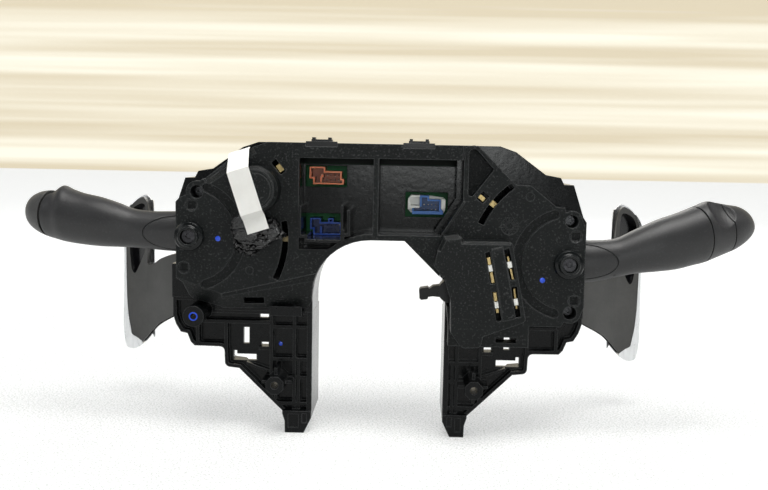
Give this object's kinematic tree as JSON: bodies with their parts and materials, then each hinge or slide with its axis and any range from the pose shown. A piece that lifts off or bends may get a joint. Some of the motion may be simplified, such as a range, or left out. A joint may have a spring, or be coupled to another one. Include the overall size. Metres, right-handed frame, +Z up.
{
  "type": "combination stalk switch",
  "caption": "Steering column module with two tilting stalks, gear paddles, connector pockets and ribbed fixing legs round a U-shaped column arch.",
  "frame": {"origin": "midway between the two leg fixing holes, on the plane of their boss faces", "axes": "+Z up, +X to the right seen from the rear, +Y forwards to the driver; the wiring plugs in from -Y"},
  "size_m": [0.4316, 0.1017, 0.171],
  "materials": {
    "black_screw": "blackened screw",
    "blue_core": "satin blue",
    "blue_paint": "dab of blue paint",
    "blue_plastic": "satin blue",
    "brass_contacts": "bright brass",
    "circuit_board": "green solder mask",
    "clip_plastic": "black nylon",
    "collar_plastic": "dark plastic",
    "gloss_housing": "glossy black",
    "grained_cover": "fine grain, matt",
    "lump_black": "rough black",
    "natural_plastic": "natural white plastic",
    "orange_plastic": "satin orange-red",
    "paddle_plastic": "warm grey, satin",
    "satin_trim": "satin metal-look skin",
    "spring_steel": "bright spring wire",
    "stalk_plastic": "fine texture, satin",
    "tape": "blank white strip",
    "tin_contacts": "tinned",
    "white_plastic": "natural white",
    "zinc_steel": "zinc plated"
  },
  "bodies": {
    "base": {"rear_cover": "grained_cover", "right_switch_plate": "grained_cover", "main_housing": "gloss_housing", "front_housing": "gloss_housing", "left_bracket": "gloss_housing", "right_bracket": "gloss_housing", "circuit_board": "circuit_board", "orange_connector": "orange_plastic", "blue_connector": "blue_plastic", "connector_shroud": "gloss_housing", "white_connector": "white_plastic", "white_connector_core": "blue_core", "connector_pins": "tin_contacts", "contact_cover": "grained_cover", "contact_blades": "brass_contacts", "contact_rollers": "white_plastic", "terminal_tabs": "brass_contacts", "sensor_drum": "grained_cover", "retaining_clip": "lump_black", "tape_strip": "tape", "top_clips": "clip_plastic", "housing_screws": "zinc_steel", "paint_dots": "blue_paint", "detent_tracks": "natural_plastic", "paddle_pins": "zinc_steel", "paddle_springs": "spring_steel", "paddle_switches": "clip_plastic"},
    "left_carrier": {"left_tilt_carrier": "natural_plastic", "left_pivot_collar": "collar_plastic", "left_pivot_screw": "black_screw", "left_wiper": "brass_contacts", "left_pull_pin": "zinc_steel", "left_detent_spring": "spring_steel"},
    "left_detent": {"left_detent_plunger": "natural_plastic"},
    "right_carrier": {"right_tilt_carrier": "natural_plastic", "right_pivot_collar": "collar_plastic", "right_pivot_screw": "black_screw", "right_wiper": "brass_contacts", "right_pull_pin": "zinc_steel", "right_detent_spring": "spring_steel"},
    "right_detent": {"right_detent_plunger": "natural_plastic"},
    "left_stalk": {"left_stalk_root": "gloss_housing", "left_stalk_body": "stalk_plastic", "left_stalk_insert": "stalk_plastic", "left_button_bush": "gloss_housing", "left_button_spring": "spring_steel"},
    "left_button": {"left_tip_button": "stalk_plastic"},
    "right_stalk": {"right_stalk_root": "gloss_housing", "right_stalk_body": "stalk_plastic", "right_stalk_insert": "stalk_plastic", "right_knob_shaft": "zinc_steel"},
    "ring": {"right_ring": "stalk_plastic"},
    "knob": {"right_knob": "stalk_plastic"},
    "left_paddle": {"left_paddle": "paddle_plastic", "left_paddle_trim": "satin_trim"},
    "right_paddle": {"right_paddle": "paddle_plastic", "right_paddle_trim": "satin_trim"},
    "cancel_finger": {"cancel_finger": "clip_plastic"}
  },
  "joints": [
    {"name": "left_stalk_tilt", "type": "hinge", "parent": "base", "child": "left_carrier", "pos_m": [-0.1045, 0, 0.084], "axis": [0, 1, 0], "range_deg": [-8, 16]},
    {"name": "left_stalk_pull", "type": "hinge", "parent": "left_carrier", "child": "left_stalk", "pos_m": [-0.0955, 0.022, 0.084], "axis": [0, 0, -1], "range_deg": [0, 8], "stiffness_Nm_per_rad": 6},
    {"name": "left_tip_press", "type": "slide", "parent": "left_stalk", "child": "left_button", "axis": [0.9249, -0.3737, -0.0698], "range_m": [0, 0.0015], "stiffness_N_per_m": 1500},
    {"name": "left_detent_slide", "type": "slide", "parent": "left_carrier", "child": "left_detent", "axis": [-1, 0, 0], "range_m": [0, 0.0008], "stiffness_N_per_m": 1200},
    {"name": "right_stalk_tilt", "type": "hinge", "parent": "base", "child": "right_carrier", "pos_m": [0.1065, 0, 0.0727], "axis": [0, 1, 0], "range_deg": [-14, 14]},
    {"name": "right_stalk_pull", "type": "hinge", "parent": "right_carrier", "child": "right_stalk", "pos_m": [0.0975, 0.022, 0.0727], "axis": [0, 0, 1], "range_deg": [0, 8], "stiffness_Nm_per_rad": 6},
    {"name": "right_ring_turn", "type": "hinge", "parent": "right_stalk", "child": "ring", "pos_m": [0.184, 0.02831, 0.0884], "axis": [0.9069, 0.3664, 0.2079], "range_deg": [-25, 25]},
    {"name": "right_knob_turn", "type": "hinge", "parent": "right_stalk", "child": "knob", "pos_m": [0.184, 0.02831, 0.0884], "axis": [0.9069, 0.3664, 0.2079], "range_deg": [-30, 60]},
    {"name": "right_detent_slide", "type": "slide", "parent": "right_carrier", "child": "right_detent", "axis": [1, 0, 0], "range_m": [0, 0.0008], "stiffness_N_per_m": 1200},
    {"name": "left_paddle_pull", "type": "hinge", "parent": "base", "child": "left_paddle", "pos_m": [-0.106, 0.057, 0.055], "axis": [0, 0, -1], "range_deg": [0, 5], "stiffness_Nm_per_rad": 3},
    {"name": "right_paddle_pull", "type": "hinge", "parent": "base", "child": "right_paddle", "pos_m": [0.106, 0.057, 0.055], "axis": [0, 0, 1], "range_deg": [0, 5], "stiffness_Nm_per_rad": 3},
    {"name": "cancel_finger_swing", "type": "hinge", "parent": "base", "child": "cancel_finger", "pos_m": [0.0416, 0.009, 0.0556], "axis": [0, 1, 0], "range_deg": [-10, 10], "stiffness_Nm_per_rad": 0.5}
  ]
}
